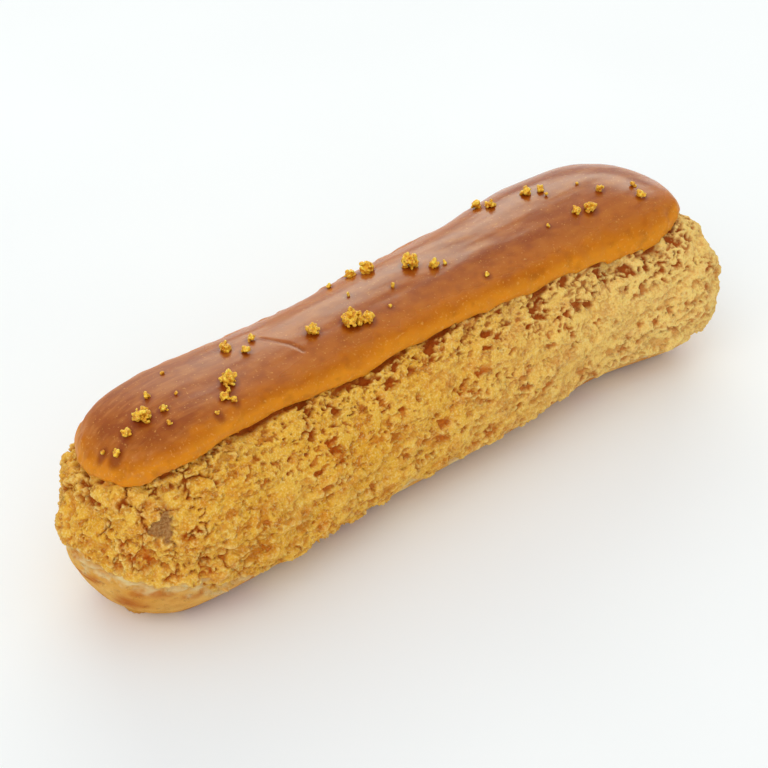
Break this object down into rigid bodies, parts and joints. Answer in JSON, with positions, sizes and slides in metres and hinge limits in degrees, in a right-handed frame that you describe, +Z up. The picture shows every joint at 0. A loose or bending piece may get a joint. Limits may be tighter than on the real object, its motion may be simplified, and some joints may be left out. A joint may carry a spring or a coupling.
{
  "type": "eclair",
  "caption": "Long choux pastry with a crackled sweet crust, a caramel glaze set along its top and gilded crumbs on the glaze.",
  "frame": {"origin": "on the table, under the middle of the eclair's bounding box", "axes": "+X along the eclair from its blunt end to its far end, -Y towards the flank that faces the viewer, +Z up"},
  "size_m": [0.14, 0.0394, 0.0382],
  "materials": {
    "baked_crust": "dry, matt, crackled golden sugar crust over browned choux pastry",
    "caramel_glaze": "smooth satin caramel glaze, amber at the rim, with gilded crumbs"
  },
  "bodies": {
    "root": {"choux_shell": "baked_crust", "caramel_glaze": "caramel_glaze"}
  },
  "joints": []
}
